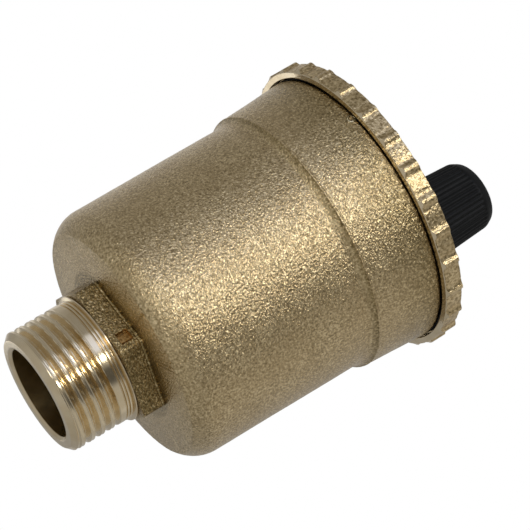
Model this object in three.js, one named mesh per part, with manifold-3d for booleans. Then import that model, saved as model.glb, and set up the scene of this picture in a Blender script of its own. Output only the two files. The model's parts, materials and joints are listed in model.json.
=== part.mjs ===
// Automatic air vent for heating systems: a cast brass float chamber with a male G 1/2 thread,
// a screwed brass cover with a serrated grip ring, and an off-centre vent nipple closed by a black cap.
// Under the cover a float works a lever, which closes a sprung valve against the nipple's seat.
// Units are millimetres. The thread end is at z = 0 and the cap points up (+Z).
import * as THREE from 'three';
import { mergeVertices, mergeGeometries } from 'three/addons/utils/BufferGeometryUtils.js';
import Module from 'manifold-3d';

const wasm = await Module();
wasm.setup();

// ---------- driving dimensions ----------
// male connection
const BORE_R = 7.78;          // inlet bore
const THREAD_R = 10.4775;     // G 1/2 major radius
const THREAD_PITCH = 1.814;
const THREAD_DEPTH = 1.0;
const THREAD_GROOVE = 0.57;      // half width of a groove at the crest
const THREAD_FIRST = 2.3;     // height of the first groove
const THREAD_GROOVES = 4;
const HEX_AF = 22.0;          // spanner flats
const HEX_Z0 = 11.35, HEX_Z1 = 15.5;
const HEX_CORNER_DEG = -85;   // direction of one hexagon corner
const POCKET_T = 4.15, POCKET_Z = 13.0, POCKET_W = 1.7, POCKET_H = 1.8, POCKET_DEPTH = 0.35;
// float chamber
const BODY_BOTTOM_Z = 14.45, BODY_CORNER_R = 5.45;
const BODY_R0 = 21.83;        // wall at the bottom corner
const BODY_R1 = 22.17;        // wall under the step
const STEP_Z0 = 47.8, STEP_Z1 = 50.2;
const BAND_R0 = 23.15, BAND_R1 = 23.84;
const BODY_RIM_Z = 61.2;      // ledge that carries the o-ring
const BODY_TOP_Z = 62.1;
const CHAMBER_R = 19.6, CHAMBER_FLOOR_Z = 19.2;
const MOUTH_R = 20.6, MOUTH_Z = 55.3;
// cover
const RING_R = 25.74, RING_ROOT_R = 25.24;   // grip ring ridges and the flutes between them
const RING_RIDGES = 28, RIDGE_CREST_DEG = 1.7, RIDGE_FOOT_DEG = 4.4;
const RING_Z0 = 60.7, RING_Z1 = 63.9;
const RING_PHASE_DEG = -91.8; // direction of one ridge
const COUNTERBORE_R = 24.26, COVER_SEAT_Z = 62.4;
const PLUG_R = 20.3, PLUG_BORE_R = 17.6, PLUG_Z0 = 56.5;
const DOME_UNDER_Z = 64.5;
// vent nipple, cap and valve, all on one axis beside the middle
const VENT_X = 8.0;
const BOSS_R = 6.4, BOSS_Z = 69.6;
const NIPPLE_HOLE_R = 3.3, NIPPLE_SHANK_R = 3.0, NIPPLE_SPIGOT_R = 4.0;
const SEAT_Z = 66.2, VENT_BORE_R = 0.9;
const CAP_R0 = 6.7, CAP_R1 = 6.15, CAP_Z0 = 70.5, CAP_Z1 = 82.1;
const CAP_RIBS = 44;
// lever works
const PIVOT_X = 13.5, PIVOT_Z = 53.5;
const LEVER_TILT_DEG = 7.35;  // float end down at rest, the same amount up when the valve is shut
const FLOAT_ARM = 19.5;
const HOOK_X = PIVOT_X - FLOAT_ARM * Math.cos(LEVER_TILT_DEG * Math.PI / 180);
const HOOK_Z = PIVOT_Z - FLOAT_ARM * Math.sin(LEVER_TILT_DEG * Math.PI / 180);
const PIN_R = 0.75, PIN_HOLE_R = 0.85;
const PLATE_Z0 = 61.0, PLATE_Z1 = 61.8;
// float
const FLOAT_R = 18.0, FLOAT_Z0 = 23.0, FLOAT_RIM_Z = 45.3, FLOAT_LID_Z0 = 45.4, FLOAT_LID_Z1 = 46.4;
const FLOAT_WALL = 1.2;

// ---------- materials ----------
const mat = (color, roughness, metalness) => new THREE.MeshStandardMaterial({ color, roughness, metalness });
const castBrass = () => mat(0xa8946a, 0.55, 0.9);
const turnedBrass = () => mat(0xc9a45c, 0.25, 1.0);
const blackPlastic = () => mat(0x161717, 0.45, 0.0);
const blackRubber = () => mat(0x0c0b0a, 0.8, 0.0);
const stainless = () => mat(0xb4b6b8, 0.3, 1.0);
const whitePlastic = () => mat(0xe6e3da, 0.5, 0.0);

// ---------- solids ----------
const RAD = Math.PI / 180;
function bare(g) {
  const c = g.index ? g.toNonIndexed() : g.clone();
  for (const n of Object.keys(c.attributes)) if (n !== 'position') c.deleteAttribute(n);
  return mergeVertices(c, 1e-4);
}
function solid(g) {
  const m = bare(g);
  const idx = m.index.array, pos = m.attributes.position.array, tri = [];
  for (let i = 0; i < idx.length; i += 3) {
    if (idx[i] !== idx[i + 1] && idx[i + 1] !== idx[i + 2] && idx[i] !== idx[i + 2]) tri.push(idx[i], idx[i + 1], idx[i + 2]);
  }
  let man = new wasm.Manifold(new wasm.Mesh({ numProp: 3, vertProperties: Float32Array.from(pos), triVerts: Uint32Array.from(tri) }));
  return man;
}
function geometry(man) {
  const m = man.getMesh();
  const g = new THREE.BufferGeometry();
  const p = new Float32Array(m.numVert * 3);
  for (let i = 0; i < m.numVert; i++) for (let k = 0; k < 3; k++) p[3 * i + k] = m.vertProperties[i * m.numProp + k];
  g.setAttribute('position', new THREE.BufferAttribute(p, 3));
  g.setIndex(new THREE.BufferAttribute(Uint32Array.from(m.triVerts), 1));
  g.computeVertexNormals();
  return g;
}
// solid of revolution about Z; profile is a list of [radius, z], going up on the outside
function turned(profile, n, x = 0, y = 0) {
  const g = new THREE.LatheGeometry(profile.map(([r, z]) => new THREE.Vector2(r, z)), n);
  g.rotateX(Math.PI / 2);
  g.translate(x, y, 0);
  return solid(g);
}
const loop = (profile) => [...profile, profile[0]];
const disc = (r, z0, z1, n, x = 0, y = 0) => turned([[0, z0], [r, z0], [r, z1], [0, z1]], n, x, y);
const ring = (r0, r1, z0, z1, n, x = 0, y = 0) => turned(loop([[r0, z0], [r1, z0], [r1, z1], [r0, z1]]), n, x, y);
function box(x0, x1, y0, y1, z0, z1) {
  const g = new THREE.BoxGeometry(x1 - x0, y1 - y0, z1 - z0);
  g.translate((x0 + x1) / 2, (y0 + y1) / 2, (z0 + z1) / 2);
  return solid(g);
}
function prism(points, z0, z1) {
  const g = new THREE.ExtrudeGeometry(new THREE.Shape(points.map(([x, y]) => new THREE.Vector2(x, y))), { depth: z1 - z0, bevelEnabled: false });
  g.translate(0, 0, z0);
  return solid(g);
}
// round bar along Y
function barY(r, y0, y1, n, x, z) {
  const g = new THREE.CylinderGeometry(r, r, y1 - y0, n);
  g.translate(0, (y0 + y1) / 2, 0);
  g.translate(x, 0, z);
  return solid(g);
}

const object = new THREE.Group();
function add(parent, name, man, material) {
  const mesh = new THREE.Mesh(man.isBufferGeometry ? man : geometry(man), material);
  mesh.name = name;
  parent.add(mesh);
  return mesh;
}

// ---------- body: threaded neck, spanner hexagon and float chamber in one casting ----------
{
  const outer = [[BORE_R, 0.45], [8.3, 0], [9.55, 0], [THREAD_R - 0.03, 0.95]];
  for (let i = 0; i < THREAD_GROOVES; i++) {
    const z = THREAD_FIRST + i * THREAD_PITCH;
    outer.push([THREAD_R, z - THREAD_GROOVE], [THREAD_R - THREAD_DEPTH, z], [THREAD_R, z + THREAD_GROOVE]);
  }
  outer.push([THREAD_R, 9.8], [THREAD_R - 0.35, 10.15], [THREAD_R, 10.5], [THREAD_R, 10.75], [11.0, 11.1], [10.75, 11.5]);
  outer.push([10.6, 15.4], [10.6, 16.1], [11.4, 16.35], [13.0, 15.85], [14.8, 14.85]);
  for (let i = 0; i <= 5; i++) {
    const a = (i / 5) * Math.PI / 2;
    outer.push([BODY_R0 - BODY_CORNER_R + BODY_CORNER_R * Math.sin(a), BODY_BOTTOM_Z + BODY_CORNER_R - BODY_CORNER_R * Math.cos(a)]);
  }
  outer.push([BODY_R1, STEP_Z0], [22.45, 48.6], [22.95, 49.5], [BAND_R0, STEP_Z1], [23.63, 57.4], [BAND_R1, RING_Z0 - 0.1], [BAND_R1 - 0.1, RING_Z0], [BAND_R1 - 0.1, BODY_RIM_Z]);
  outer.push([22.3, BODY_RIM_Z], [22.3, BODY_TOP_Z - 0.2], [22.1, BODY_TOP_Z], [MOUTH_R, BODY_TOP_Z]);
  outer.push([MOUTH_R, MOUTH_Z], [CHAMBER_R, MOUTH_Z - 0.7], [CHAMBER_R, 23.0], [17.6, CHAMBER_FLOOR_Z + 0.6], [15.5, CHAMBER_FLOOR_Z], [9.4, CHAMBER_FLOOR_Z], [BORE_R, 17.6]);
  const shell = turned(loop(outer), 40);
  // hexagon with its corners turned back on the thread side
  const c = HEX_AF / 2 / Math.cos(30 * RAD);
  const hex = prism([0, 1, 2, 3, 4, 5].map((k) => {
    const a = (HEX_CORNER_DEG + 60 * k) * RAD;
    return [c * Math.cos(a), c * Math.sin(a)];
  }), HEX_Z0, HEX_Z1);
  const turnedHex = turned(loop([[9.0, HEX_Z0], [12.1, HEX_Z0], [12.7, HEX_Z0 + 0.35], [12.7, HEX_Z1], [9.0, HEX_Z1]]), 40);
  // small square pocket cast into one flat, beside its corner
  const g = new THREE.BoxGeometry(1.4, POCKET_W, POCKET_H);
  g.translate(HEX_AF / 2 - POCKET_DEPTH + 0.7, POCKET_T, POCKET_Z);
  g.rotateZ((HEX_CORNER_DEG - 30) * RAD);
  add(object, 'body', shell.add(hex.intersect(turnedHex).subtract(solid(g))), castBrass());
}

// ---------- cover ----------
{
  const crown = turned([
    [0, DOME_UNDER_Z], [15.6, DOME_UNDER_Z], [PLUG_BORE_R, 62.9], [PLUG_BORE_R, PLUG_Z0], [PLUG_R - 0.5, PLUG_Z0], [PLUG_R, PLUG_Z0 + 0.5],
    [PLUG_R, COVER_SEAT_Z], [COUNTERBORE_R, COVER_SEAT_Z], [COUNTERBORE_R, RING_Z0 + 0.25], [24.55, RING_Z0], [24.8, RING_Z0], [24.8, RING_Z1], [23.2, RING_Z1 + 0.1],
    [20.6, 65.7], [14.0, 67.2], [0, 67.6]], 42);
  // serrated grip ring: narrow low ridges with wide flat facets between them, and a turned front chamfer
  const pts = [];
  const pitch = 360 / RING_RIDGES;
  for (let k = 0; k < RING_RIDGES; k++) {
    const a = RING_PHASE_DEG + k * pitch;
    for (const [r, d] of [[RING_ROOT_R, -RIDGE_FOOT_DEG / 2], [RING_R, -RIDGE_CREST_DEG / 2], [RING_R, RIDGE_CREST_DEG / 2], [RING_ROOT_R, RIDGE_FOOT_DEG / 2]]) {
      pts.push([r * Math.cos((a + d) * RAD), r * Math.sin((a + d) * RAD)]);
    }
  }
  const teeth = prism(pts, RING_Z0, RING_Z1);
  const bevel = turned(loop([[24.4, RING_Z0 + 0.01], [25.18, RING_Z0 + 0.01], [25.8, RING_Z0 + 0.5], [25.8, RING_Z1 - 0.3], [25.5, RING_Z1 - 0.01], [24.4, RING_Z1 - 0.01]]), 42);
  let cover = crown.add(teeth.intersect(bevel));
  // boss for the nipple, and two pads that carry the lever bracket
  cover = cover.add(turned([[0, 65], [BOSS_R + 0.5, 65], [BOSS_R + 0.4, 67.3], [BOSS_R, 68.2], [BOSS_R, BOSS_Z - 0.4], [BOSS_R - 0.4, BOSS_Z], [0, BOSS_Z]], 32, VENT_X, 0));
  for (const y of [-9, 9]) cover = cover.add(disc(2.6, 61.9, 65, 20, 6, y));
  cover = cover.subtract(disc(NIPPLE_HOLE_R, 60, 72, 24, VENT_X, 0));
  for (const y of [-9, 9]) cover = cover.subtract(disc(1.3, 60, 64.1, 12, 6, y));
  add(object, 'cover', cover, castBrass());
}
{
  // o-ring between the chamber's ledge and the cover
  const g = new THREE.TorusGeometry(23.42, 0.56, 6, 40);
  g.translate(0, 0, 61.79);
  add(object, 'cover_o_ring', solid(g), blackRubber());
}

// ---------- vent nipple with the valve seat ----------
{
  let nipple = turned(loop([
    [VENT_BORE_R, SEAT_Z], [1.5, SEAT_Z], [1.7, SEAT_Z + 0.35], [NIPPLE_SHANK_R, SEAT_Z + 0.35], [NIPPLE_SHANK_R, 70.1], [5.0, 70.1], [5.0, 71.3],
    [NIPPLE_SPIGOT_R - 0.35, 71.3], [NIPPLE_SPIGOT_R - 0.35, 72.0], [NIPPLE_SPIGOT_R, 72.3], [NIPPLE_SPIGOT_R, 78.6], [NIPPLE_SPIGOT_R - 0.4, 79.0], [1.5, 79.0], [VENT_BORE_R, 78.4]]), 24, VENT_X, 0);
  add(object, 'vent_nipple', nipple, turnedBrass());
}
add(object, 'nipple_seal', ring(3.35, 5.0, 69.66, 70.04, 24, VENT_X, 0), mat(0x7a2f22, 0.7, 0.0));

// ---------- vent cap: ribbed, with a rounded end ----------
{
  const outerTop = 80.1, rimR = CAP_R1 - 0.12;
  const prof = [[4.35, 71.6], [5.6, 71.6], [5.6, CAP_Z0], [CAP_R0 - 0.25, CAP_Z0], [CAP_R0, CAP_Z0 + 0.3], [CAP_R1 + 0.06, 79.4], [CAP_R1, outerTop],
    [rimR - 0.45, 81.2], [rimR - 1.5, 81.9], [rimR - 2.8, CAP_Z1], [0, CAP_Z1]];
  const g = new THREE.LatheGeometry([[0, 80.0], [4.35, 80.0], ...prof].map(([r, z]) => new THREE.Vector2(r, z)), CAP_RIBS * 2);
  // every second line of the flank is sunk to form the ribs
  const p = g.attributes.position;
  for (let i = 0; i < p.count; i++) {
    const x = p.getX(i), y = p.getY(i), z = p.getZ(i), r = Math.hypot(x, z);
    if (r < 5.8 || y > 79.8) continue;
    const k = Math.round((Math.atan2(x, z) / (2 * Math.PI)) * CAP_RIBS * 2);
    if (((k % 2) + 2) % 2 === 1) {
      const s = (r - 0.26) / r;
      p.setX(i, x * s);
      p.setZ(i, z * s);
    }
  }
  g.rotateX(Math.PI / 2);
  g.translate(VENT_X, 0, 0);
  add(object, 'vent_cap', solid(g), blackPlastic());
}
add(object, 'cap_seal', disc(4.1, 79.12, 79.9, 20, VENT_X, 0), blackRubber());

// ---------- lever bracket, folded from stainless sheet, and its screws ----------
{
  const outline = [[2.5, -11.5], [9.5, -11.5], [16.2, -4], [16.2, 4], [9.5, 11.5], [2.5, 11.5]];
  let b = prism(outline, PLATE_Z0, PLATE_Z1);
  for (const s of [-1, 1]) {
    const y0 = s > 0 ? 1.6 : -2.4;
    b = b.add(box(11.8, 15.2, y0, y0 + 0.8, 53.0, PLATE_Z0 + 0.4)).add(barY(1.7, y0, y0 + 0.8, 16, PIVOT_X, PIVOT_Z));
  }
  b = b.subtract(disc(1.1, 60, 63, 16, VENT_X, 0)).subtract(barY(PIN_HOLE_R, -4, 4, 16, PIVOT_X, PIVOT_Z));
  for (const y of [-9, 9]) b = b.subtract(disc(1.3, 60, 63, 16, 6, y));
  add(object, 'lever_bracket', b, stainless());
}
for (const [name, y] of [['bracket_screw_a', -9], ['bracket_screw_b', 9]]) {
  let s = turned([[0, 59.75], [1.5, 59.75], [2.15, 60.15], [2.2, 60.95], [1.1, 60.95], [1.1, 63.6], [0.8, 63.9], [0, 63.9]], 16, 6, y);
  s = s.subtract(box(6 - 3, 6 + 3, y - 0.3, y + 0.3, 59, 60.3));
  add(object, name, s, stainless());
}

// ---------- lever with its pins, drawn with the float end down ----------
{
  const lever = new THREE.Group();
  lever.position.set(PIVOT_X, 0, PIVOT_Z);
  lever.rotation.y = -LEVER_TILT_DEG * RAD;
  object.add(lever);
  // side outline in X and Z about the pivot
  const bar = new THREE.Shape();
  bar.moveTo(0, -1.6);
  bar.absarc(0, 0, 1.6, -Math.PI / 2, Math.PI / 2, false);
  bar.lineTo(-4.0, 1.1);
  bar.lineTo(-FLOAT_ARM, 1.1);
  bar.absarc(-FLOAT_ARM, 0, 1.1, Math.PI / 2, 1.5 * Math.PI, false);
  bar.lineTo(-4.0, -1.1);
  bar.lineTo(0, -1.6);
  const g = new THREE.ExtrudeGeometry(bar, { depth: 2.2, bevelEnabled: false, curveSegments: 8 });
  g.translate(0, 0, -1.1);
  g.rotateX(Math.PI / 2);
  let m = solid(g);
  m = m.subtract(barY(PIN_HOLE_R, -2, 2, 16, 0, 0)).subtract(barY(0.8, -2, 2, 16, -FLOAT_ARM, 0));
  // the middle of the arm is lightened to a narrow web
  m = m.subtract(box(-17.2, -7.6, 0.6, 2, -2, 2)).subtract(box(-17.2, -7.6, -2, -0.6, -2, 2));
  add(lever, 'lever', m, stainless());
  // link pin through the float's eyes, with a head at one end and a clip at the other
  const link = barY(0.7, -2.75, 3.45, 16, -FLOAT_ARM, 0).add(barY(1.25, -3.35, -2.75, 16, -FLOAT_ARM, 0));
  add(lever, 'link_pin', link, stainless());
  add(lever, 'link_pin_clip', barY(1.4, 2.8, 3.2, 16, -FLOAT_ARM, 0).subtract(barY(0.8, 2, 4, 16, -FLOAT_ARM, 0)), stainless());
}
{
  const pin = barY(PIN_R, -2.55, 3.4, 16, PIVOT_X, PIVOT_Z).add(barY(1.4, -3.25, -2.5, 16, PIVOT_X, PIVOT_Z));
  add(object, 'lever_pin', pin, stainless());
  add(object, 'lever_pin_clip', barY(1.6, 2.55, 3.05, 16, PIVOT_X, PIVOT_Z).subtract(barY(0.83, 2, 4, 16, PIVOT_X, PIVOT_Z)), stainless());
}

// ---------- valve: stem with a cup head, rubber disc, spring and its retainer ----------
add(object, 'valve_stem', turned([
  [0, 54.25], [0.5, 54.25], [0.8, 54.5], [0.8, 55.95], [0.62, 55.95], [0.62, 56.45], [0.8, 56.45], [0.8, 62.9], [2.5, 63.2], [2.5, 64.3], [1.95, 64.3], [1.95, 63.7], [0, 63.7]], 16, VENT_X, 0), turnedBrass());
add(object, 'valve_seal', disc(1.85, 63.74, 64.75, 16, VENT_X, 0), blackRubber());
add(object, 'spring_retainer', ring(0.68, 2.9, 56.0, 56.4, 16, VENT_X, 0), stainless());
{
  class Coil extends THREE.Curve {
    getPoint(t, target = new THREE.Vector3()) {
      const a = t * 3.6 * 2 * Math.PI;
      const z0 = 56.72, z1 = 60.66;
      return target.set(VENT_X + 2.2 * Math.cos(a), 2.2 * Math.sin(a), z0 + (z1 - z0) * t);
    }
  }
  const s = new THREE.Shape();
  s.absarc(0, 0, 0.26, 0, 2 * Math.PI, false);
  const g = new THREE.ExtrudeGeometry(s, { steps: 44, curveSegments: 3, extrudePath: new Coil(), bevelEnabled: false });
  add(object, 'valve_spring', solid(g), stainless());
}

// ---------- float: open cup and lid with the two hook eyes ----------
add(object, 'float_cup', turned([
  [0, FLOAT_Z0 + 0.8], [12.0, FLOAT_Z0 + 0.3], [14.5, FLOAT_Z0], [FLOAT_R - 1.2, FLOAT_Z0 + 0.6], [FLOAT_R, FLOAT_Z0 + 2.2], [FLOAT_R, FLOAT_RIM_Z], [FLOAT_R - FLOAT_WALL, FLOAT_RIM_Z],
  [FLOAT_R - FLOAT_WALL, FLOAT_Z0 + 2.6], [FLOAT_R - 2.0, FLOAT_Z0 + 1.6], [14.3, FLOAT_Z0 + 1.2], [12.0, FLOAT_Z0 + 1.5], [0, FLOAT_Z0 + 2.0]], 40), whitePlastic());
{
  let lid = turned([
    [0, FLOAT_LID_Z0], [15.4, FLOAT_LID_Z0], [15.4, 43.4], [16.5, 43.4], [16.5, FLOAT_LID_Z0], [FLOAT_R, FLOAT_LID_Z0], [FLOAT_R, FLOAT_LID_Z1 - 0.5], [FLOAT_R - 0.5, FLOAT_LID_Z1], [0, FLOAT_LID_Z1]], 40);
  const ex = HOOK_X - 0.08, ez = HOOK_Z;
  for (const s of [-1, 1]) {
    const y0 = s > 0 ? 1.45 : -2.45;
    lid = lid.add(box(ex - 2.6, ex + 2.6, y0, y0 + 1.0, FLOAT_LID_Z1 - 0.4, ez - 0.6)).add(box(ex - 1.9, ex + 1.9, y0, y0 + 1.0, ez - 0.7, ez + 1.9));
  }
  // the eyes are short slots, so the pin can travel along them as the lever swings
  const slot = barY(0.8, -4, 4, 16, ex - 0.2, ez).add(barY(0.8, -4, 4, 16, ex + 0.2, ez)).add(box(ex - 0.2, ex + 0.2, -4, 4, ez - 0.8, ez + 0.8));
  lid = lid.subtract(slot);
  add(object, 'float_lid', lid, whitePlastic());
}

export default object;
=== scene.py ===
import bpy, bmesh, json, math
import numpy as np
from mathutils import Vector, Matrix


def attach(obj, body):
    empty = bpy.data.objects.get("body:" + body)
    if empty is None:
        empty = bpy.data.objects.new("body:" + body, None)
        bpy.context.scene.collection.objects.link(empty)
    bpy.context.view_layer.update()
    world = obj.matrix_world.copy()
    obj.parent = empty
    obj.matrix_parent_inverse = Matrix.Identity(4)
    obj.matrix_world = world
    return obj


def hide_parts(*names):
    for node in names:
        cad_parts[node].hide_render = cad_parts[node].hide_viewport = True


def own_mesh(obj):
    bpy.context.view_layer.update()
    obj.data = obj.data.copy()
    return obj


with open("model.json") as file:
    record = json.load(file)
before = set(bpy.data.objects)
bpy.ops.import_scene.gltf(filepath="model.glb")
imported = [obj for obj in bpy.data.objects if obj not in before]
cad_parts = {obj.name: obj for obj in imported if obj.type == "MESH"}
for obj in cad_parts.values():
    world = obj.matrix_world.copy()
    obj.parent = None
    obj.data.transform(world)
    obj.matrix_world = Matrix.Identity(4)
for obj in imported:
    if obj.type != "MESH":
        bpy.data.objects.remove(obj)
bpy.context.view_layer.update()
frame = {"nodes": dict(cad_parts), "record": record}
MM = 0.001
RAD = math.pi / 180.0
scene = bpy.context.scene


# ---------------------------------------------------------------- small tools
def smooth(a, b, x):
    t = np.clip((x - a) / (b - a), 0.0, 1.0)
    return t * t * (3 - 2 * t)


def softmin(a, b, k):
    """Smooth minimum with a rounding of about k."""
    h = np.clip(0.5 + 0.5 * (b - a) / k, 0, 1)
    return b + (a - b) * h - k * h * (1 - h)


def lattice(ix, iy, iz, seed):
    h = (ix.astype(np.int64) * 374761393 + iy.astype(np.int64) * 668265263 + iz.astype(np.int64) * 2147483647 + seed * 1274126177) & 0xFFFFFFFF
    h = ((h ^ (h >> 13)) * 1103515245) & 0xFFFFFFFF
    h = ((h ^ (h >> 16)) * 2654435761) & 0xFFFFFFFF
    h = h ^ (h >> 15)
    return (h & 0xFFFFFF).astype(np.float64) / float(0xFFFFFF) * 2 - 1


def noise(P, size, seed):
    """Value noise in space, features of about `size` millimetres, between -1 and 1."""
    q = P / size
    i = np.floor(q)
    f = q - i
    f = f * f * f * (f * (f * 6 - 15) + 10)
    i = i.astype(np.int64)
    out = 0
    for dx in (0, 1):
        wx = f[:, 0] if dx else 1 - f[:, 0]
        for dy in (0, 1):
            wy = f[:, 1] if dy else 1 - f[:, 1]
            for dz in (0, 1):
                wz = f[:, 2] if dz else 1 - f[:, 2]
                out = out + wx * wy * wz * lattice(i[:, 0] + dx, i[:, 1] + dy, i[:, 2] + dz, seed)
    return out


def path(points, step=0.25, arc=0.12):
    """Turns [(r, z, fillet radius[, step])] into a fine polyline, with each corner rounded."""
    pts = [np.array(p[:2], float) for p in points]
    rad = [(p[2] if len(p) > 2 else 0.0) for p in points]
    stp = [(p[3] if len(p) > 3 else step) for p in points]
    n = len(pts)
    out = []
    for i in range(n):
        p = pts[i]
        if 0 < i < n - 1 and rad[i] > 0:
            a, b = pts[i - 1] - p, pts[i + 1] - p
            la, lb = np.linalg.norm(a), np.linalg.norm(b)
            a, b = a / la, b / lb
            cosang = np.clip(a @ b, -1, 1)
            half = math.acos(cosang) / 2
            if abs(math.pi / 2 - half) < 0.01:
                out.append((p, stp[i]))
                continue
            t = min(rad[i] / math.tan(half), la * 0.49, lb * 0.49)
            r = t * math.tan(half)
            c = p + (a + b) / np.linalg.norm(a + b) * (r / math.sin(half))
            s, e = p + a * t, p + b * t
            va, vb = s - c, e - c
            sweep = math.pi - 2 * half
            k = max(3, int(math.ceil(sweep * r / arc)))
            k = min(k, 24)
            sgn = 1.0 if va[0] * vb[1] - va[1] * vb[0] > 0 else -1.0
            for j in range(k + 1):
                t_ = sweep * j / k * sgn
                rot = np.array([[math.cos(t_), -math.sin(t_)], [math.sin(t_), math.cos(t_)]])
                out.append((c + rot @ va, stp[i]))
        else:
            out.append((p, stp[i]))
    fine = []
    for i in range(len(out) - 1):
        (a, s), (b, _) = out[i], out[i + 1]
        L = np.linalg.norm(b - a)
        k = max(1, int(math.ceil(L / s)))
        for j in range(k):
            fine.append(a + (b - a) * j / k)
    fine.append(out[-1][0])
    keep = [fine[0]]
    for q in fine[1:]:
        if np.linalg.norm(q - keep[-1]) > 1e-4:
            keep.append(q)
    return np.array(keep)


def mesh_object(name, verts_mm, faces, smooth_angle=35.0):
    me = bpy.data.meshes.new(name)
    v = np.asarray(verts_mm, float) * MM
    me.from_pydata([tuple(x) for x in v], [], faces)
    me.validate()
    me.update()
    me.shade_smooth()
    me.set_sharp_from_angle(angle=smooth_angle * RAD)
    ob = bpy.data.objects.new(name, me)
    scene.collection.objects.link(ob)
    return ob


def grid_faces(m, n, closed, pole0=None, pole1=None):
    faces = []
    rows = m if closed else m - 1
    for i in range(rows):
        a, b = i * n, ((i + 1) % m) * n
        for j in range(n):
            k = (j + 1) % n
            faces.append((a + j, a + k, b + k, b + j))
    if pole0 is not None:
        faces += [(pole0, (j + 1) % n, j) for j in range(n)]
    if pole1 is not None:
        a = (m - 1) * n
        faces += [(a + j, a + (j + 1) % n, pole1) for j in range(n)]
    return faces


def revolve(name, prof, n, closed=True, cx=0.0, cy=0.0, phase=0.0, shape=None, cast=None, angle=35.0):
    """Solid of revolution in millimetres. prof runs up the outside. shape(r, z, theta) changes the radius and height.
    An open profile starts and ends on the axis."""
    th = phase * RAD + np.arange(n) * 2 * math.pi / n
    P = np.array(prof, float)
    ends = None
    if not closed:
        ends = (P[0], P[-1])
        P = P[1:-1]
    elif np.linalg.norm(P[0] - P[-1]) < 1e-6:
        P = P[:-1]
    m = len(P)
    R = np.repeat(P[:, 0:1], n, 1)
    Z = np.repeat(P[:, 1:2], n, 1)
    T = np.repeat(th[None, :], m, 0)
    if shape is not None:
        R, Z = shape(R, Z, T)
    V = np.stack([R * np.cos(T), R * np.sin(T), Z], -1)
    if cast is not None:
        if closed:
            dr = np.roll(V, -1, 0) - np.roll(V, 1, 0)
        else:
            dr = np.gradient(V, axis=0)
        dt = np.roll(V, -1, 1) - np.roll(V, 1, 1)
        N = np.cross(dt, dr)
        N /= np.linalg.norm(N, axis=-1, keepdims=True) + 1e-12
        V = V + N * cast(V.reshape(-1, 3)).reshape(m, n)[..., None]
    V = V.reshape(-1, 3)
    pole0 = pole1 = None
    if not closed:
        pole0, pole1 = len(V), len(V) + 1
        V = np.vstack([V, [0, 0, ends[0][1]], [0, 0, ends[1][1]]])
    V[:, 0] += cx
    V[:, 1] += cy
    return mesh_object(name, V, grid_faces(m, n, closed, pole0, pole1), angle)


def boolean(a, b, op):
    m = a.modifiers.new("bool", "BOOLEAN")
    m.operation = op
    m.solver = "EXACT"
    m.object = b
    bpy.context.view_layer.update()
    dg = bpy.context.evaluated_depsgraph_get()
    me = bpy.data.meshes.new_from_object(a.evaluated_get(dg))
    a.modifiers.clear()
    old = a.data
    a.data = me
    bpy.data.meshes.remove(old)
    bpy.data.objects.remove(b, do_unlink=True)
    return a


# ---------------------------------------------------------------- materials
def srgb(r, g, b):
    def f(c):
        c /= 255.0
        return c / 12.92 if c <= 0.04045 else ((c + 0.055) / 1.055) ** 2.4
    return (f(r), f(g), f(b), 1.0)


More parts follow.
